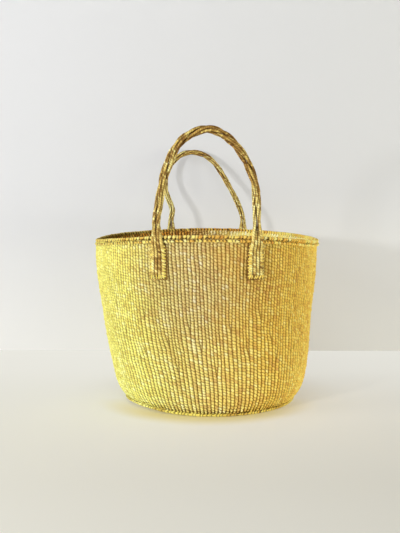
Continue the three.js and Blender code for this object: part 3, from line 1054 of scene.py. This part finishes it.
def build_handles():
    rng = np.random.default_rng(53)
    for handle in (front, rear):
        place = handle.name.split("_")[0]
        for order in range(4):
            line, side, half_width, half_height = handle_cord(handle, order)
            layer = cord_layer(handle, order)
            shape = handle_yarn(rng, lengths_along(line)[-1], order, layer, handle.painted_arch_light)
            part = tube_part(line, side, half_width, half_height, shape, 20)
            piece = make_piece("%s_cord_%d" % (handle.name, order + 1), part, cord_sisal)
            low, high = handle.origin * MM, handle.origin * MM
            low[2] -= bend_below
            high[2] += bend_above
            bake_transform(piece)
            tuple(low)
            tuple(high)
            strand = "%s_strand_%s" % (handle.name, "a" if order > 1 else "b")
            tab = "%s_%s_tab" % (place, "left" if order < 2 else "right")
            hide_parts(strand, tab)


build_handles()


# Sewing of the handles' ends

stitch_pitch = 4.2
stitch_radius = 0.85


def stitch_thread(rng):
    """Shape of one short stitch, thinner where it enters the weave."""
    tone = np.clip(0.72 + rng.normal(0, 0.14), 0, 1)
    seed = rng.uniform(0, 50)

    def shape(distance, turn):
        share = distance / distance[-1]
        swell = np.sqrt(np.clip(np.sin(math.pi * (0.06 + 0.88 * share)), 0, 1)) + 0 * turn
        fibres = stacked(distance * 0.5, turn * 1.4, seed + 0 * share)
        return swell, 0 * swell + tone, np.clip(1.6 * swell - 0.5, 0, 1), fibres

    return shape


def edge_stitches(handle, leg, half, top, rng):
    """Stitches over the tab's edges: from the wall over the edge into the first groove."""
    parts = []
    z = handle.foot + 2.5
    while z < top:
        for end in (-1, 1):
            # the edges that face the basket's middle are sewn more thickly
            inner = end == -leg
            if not inner and rng.uniform() < 0.35:
                continue
            edge = handle.tab_half_width(z)
            out, climb = rng.uniform(1.1, 1.8), rng.uniform(1.2, 2.6) * (1 if inner else 0.6)
            # six points from the wall up, over the edge and down into the groove
            across = edge + np.array([out + 0.4, out, 0.6, -1.0, -2.6, -3.1])
            outward = np.array([0.1, 1.5, 3.6, 4.5, 4.3, 3.2])
            heights = z + rng.normal(0, 0.3) + climb * np.array([-0.5, -0.4, -0.1, 0.2, 0.5, 0.6])
            parts.append((end * across, outward, heights))
        z += stitch_pitch
    for across in np.arange(-half + 1.5, half, stitch_pitch * 0.9):
        fall = np.array([-1.9, -1.6, -0.4, 1.6, 3.2, 3.7])
        outward = np.array([0.1, 1.4, 3.3, 4.3, 4.5, 3.4])
        shift = across + rng.normal(0, 0.3) + np.linspace(-0.7, 0.7, 6)
        parts.append((shift, outward, handle.foot + 0.4 + fall * rng.uniform(0.85, 1.15)))
    stitches_here = []
    for across, outward, heights in parts:
        points = resample(catmull_rom(handle.tab_point(leg, across, outward, heights), 6), 14)
        side = unit(np.cross(np.gradient(points, axis=0), unit(points * [1, 1, 0])))
        thick = np.full(len(points), stitch_radius * rng.uniform(0.85, 1.2))
        stitches_here.append(tube_part(points, side, thick, thick, stitch_thread(rng), 8))
    return stitches_here


def edge_cord(handle, leg, half, top, rng):
    """Two-ply cord down one edge of the tab, under its end and up the other edge."""
    reach = clearance + sewing_radius
    corner = np.linspace(0, math.pi / 2, 7)
    sides = np.linspace(top, handle.foot, 40)
    bottom = np.linspace(-half, half, 18)
    line = np.concatenate([
        np.stack([np.full(40, -half - reach), sides], 1),
        np.stack([-half - reach * np.cos(corner), handle.foot - reach * np.sin(corner)], 1)[1:-1],
        np.stack([bottom, np.full(18, handle.foot - reach)], 1),
        np.stack([half + reach * np.sin(corner), handle.foot - reach * np.cos(corner)], 1)[1:-1],
        np.stack([np.full(40, half + reach), sides[::-1]], 1),
    ])
    line = resample(line, 190)
    lean = handle.tab_half_width(line[:, 1]) - half
    across = line[:, 0] + np.sign(line[:, 0]) * np.where(np.abs(line[:, 0]) > half, lean, 0)
    points = handle.tab_point(leg, across, reach, line[:, 1])
    twisted = plied(rng, lengths_along(points)[-1], lay=8.0, notch=0.4, mean_tone=0.5)
    # brown along the edge that faces the basket's middle, partly its own colour and partly painted shade of
    # the gap beside the tab, and straw along the other
    outer = smoothstep(leg * across, -half, half)[:, None]

    def shape(distance, turn):
        share, tone, depth, fibres = twisted(distance, turn)
        return share, np.clip(tone + 0.5 * outer - 0.4, 0, 1), depth, fibres

    thick = np.full(len(points), sewing_radius)
    return tube_part(points, unit(points * [1, 1, 0]), thick, thick, shape, 12)


def build_sewing():
    rng = np.random.default_rng(71)
    half = tab_width / 2 * tab_outline_shares[0][1]
    for handle in (front, rear):
        top = handle.rim_top - lower_roll_drop - lower_roll_radius - sewing_top_gap
        for leg, word in ((-1, "left"), (1, "right")):
            node = "%s_%s_tab_sewing" % (handle.name.split("_")[0], word)
            cord = edge_cord(handle, leg, half, top, rng)
            over = join(edge_stitches(handle, leg, half, top, rng))
            for kind, part, material in (("_cord", cord, sewing_sisal), ("_stitches", over, stitch_sisal)):
                piece = make_piece(node + kind, part, material)
                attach(piece, "basket")
                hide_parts(node)


build_sewing()


# Camera, floor, backdrop and light

sensor_width = 36
focal_length = 780  # in pixels of the photo
photo_height = 533
camera_dip = 4.4  # degrees below the level
camera_turn = 0.514  # degrees to the left

camera_data = bpy.data.cameras.new("camera")
camera_data.sensor_fit = "AUTO"
camera_data.sensor_width = sensor_width
camera_data.lens = sensor_width * focal_length / photo_height
camera = add_object("camera", camera_data)
camera.location = (0, -1.240, 0.3035)
camera.rotation_euler = (math.radians(90 - camera_dip), 0, math.radians(camera_turn))
bpy.context.scene.camera = camera


stage_reach = 6
backdrop_height = 5
backdrop_y = 0.243
sweep_start = 0.19  # the paper floor bends up before it meets the wall
sweep_height = 0.0272
sweep_lift = 0.0002  # over the floor, so that the two don't lie in one plane


def seen_rays(g):
    """1 for rays that see the background: the camera's own, and those that gloss or glass sends there."""
    path = g.add("LightPath", output=None).outputs
    mirrored = g.math("MAXIMUM", path["Is Glossy Ray"], path["Is Transmission Ray"])
    return g.math("MAXIMUM", path["Is Camera Ray"], mirrored)


def stage_surface(
    name, color, near_share, far_share, painted_bounce=None, right_painted_shade=None, top_painted_shade=None, seen_only=False
):
    """Paint that glows a little where it is seen, so that it is pale without more light on the basket.

    It glows more at the back than in front and most far away, where the lamps light it unevenly. It
    glows less round the foot, where the basket's shadow falls on it. With seen_only, it isn't there for
    other rays, nor from behind.
    """
    g = Graph(bpy.data.materials.new(name))
    ray = seen_rays(g)
    spot = g.add("TexCoord", output=3)
    x, y, z = g.add("SeparateXYZ", {0: spot}, output=None).outputs
    reach = g.add("VectorMath", {0: spot}, output=1, operation="LENGTH")
    # painted falloff of the lamps' light on the backdrop: darker to the right and towards the top
    if right_painted_shade:
        color = g.mix(g.fade(x, -0.3, 0.3, kind="LINEAR"), color, right_painted_shade)
        color = g.tint(color, top_painted_shade, g.fade(z, 0.03, 0.33, kind="LINEAR"))
    if painted_bounce:
        # painted light and shade: the basket's yellow bounce light and its soft shadow on the floor close in
        # front of the foot
        close = g.fade(reach, 0.136, 0.185, 1.0, 0.0)
        ahead = g.fade(y, -0.02, -0.12, kind="LINEAR")
        close = g.math("MULTIPLY", g.math("MULTIPLY", close, ahead), ray)
        color = g.tint(color, painted_bounce, close)
    paint = g.add("BsdfDiffuse", {"Color": color})
    glow = g.add("Emission", {"Color": color, "Strength": 1.0})
    glow_share = g.fade(y, -0.4, backdrop_y, near_share, far_share, "LINEAR")
    away = g.fade(reach, 0.125, 0.25, 0.78, 1.0)
    far_off = g.fade(reach, 0.62, 1.3, 0.0, 0.92)
    glow_share = g.math("MAXIMUM", g.math("MULTIPLY", glow_share, away), far_off)
    surface = g.add("MixShader", {0: g.math("MULTIPLY", ray, glow_share), 1: paint, 2: glow})
    if seen_only:
        behind = g.add("NewGeometry", output=6)
        shown = g.math("MULTIPLY", ray, g.math("SUBTRACT", 1.0, behind))
        surface = g.add("MixShader", {0: shown, 1: g.add("BsdfTransparent"), 2: surface})
    g.add("OutputMaterial", {"Surface": surface}, output=None)
    return g.owner


def sheet(name, near, far, material, normal=None):
    """Wide flat sheet between two lines along X, each given by its Y and Z."""
    corners = [(-stage_reach, *near), (stage_reach, *near), (stage_reach, *far), (-stage_reach, *far)]
    mesh = bpy.data.meshes.new(name)
    mesh.from_pydata(corners, [], [(0, 1, 2, 3)])
    mesh.materials.append(material)
    if normal is not None:
        mesh.normals_split_custom_set([normal] * 4)
    plane = add_object(name, mesh)


paper = rgb(246, 245, 237)
floor_paint = stage_surface("floor_paint", paper, 0.2, 0.78, painted_bounce=(0.87, 0.77, 0.42, 1))
sweep_paint = stage_surface("sweep_paint", paper, 0.2, 0.78, seen_only=True)
backdrop_paint = stage_surface(
    "backdrop_paint", rgb(236, 236, 234), 0.42, 0.42,
    right_painted_shade=rgb(234, 234, 230), top_painted_shade=(0.83, 0.84, 0.89, 1), seen_only=True,
)
sheet("floor", (-stage_reach, 0), (stage_reach, 0), floor_paint)
sheet("sweep", (sweep_start, sweep_lift), (backdrop_y, sweep_height), sweep_paint, (0, 0, 1))
sheet("backdrop", (backdrop_y, 0), (backdrop_y, backdrop_height), backdrop_paint)


def lamp(name, place, target, size, power, color):
    data = bpy.data.lights.new(name, "AREA")
    data.shape = "RECTANGLE"
    data.size, data.size_y = size
    data.energy = power
    data.color = color
    light = add_object(name, data)
    light.location = place
    x, y, z = np.array(target, float) - np.array(place, float)
    light.rotation_euler = (math.atan2(math.hypot(x, y), -z), 0, math.atan2(y, x) - math.pi / 2)


lamp("window", (-1.35, -1.65, 0.48), (0, 0, 0.15), (0.2, 0.2), 21, (1, 1, 0.99))
lamp("side", (-1.9, -0.8, 1.0), (0, 0, 0.2), (0.7, 0.6), 14, (1, 1, 0.97))
lamp("top", (-0.4, -1.4, 1.9), (0, 0, 0.2), (1.0, 1.0), 11, (1, 1, 0.98))
# these stand below the rim, so that they leave the inside dark
lamp("low_front", (1.2, -1.8, 0.13), (0, 0, 0.12), (1.2, 0.24), 6.5, (1, 0.97, 0.88))
lamp("low_right", (1.85, -0.7, 0.12), (0, 0, 0.12), (1.0, 0.22), 14.5, (1, 0.96, 0.74))
lamp("low_back", (0.5, 2.2, 0.13), (0, 0, 0.12), (1.6, 0.24), 18, (1, 0.97, 0.92))

sky = Graph(bpy.data.worlds.new("world"))
sky_light = sky.add("Background", {"Color": (0.88, 0.81, 0.7, 1), "Strength": 0.18})
sky_view = sky.add("Background", {"Color": rgb(226, 226, 223), "Strength": 1.0})
sky_surface = sky.add("MixShader", {0: seen_rays(sky), 1: sky_light, 2: sky_view})
sky.add("OutputWorld", {"Surface": sky_surface}, output=None)
bpy.context.scene.world = sky.owner

bpy.context.scene.view_settings.view_transform = "Standard"

bpy.context.view_layer.update()
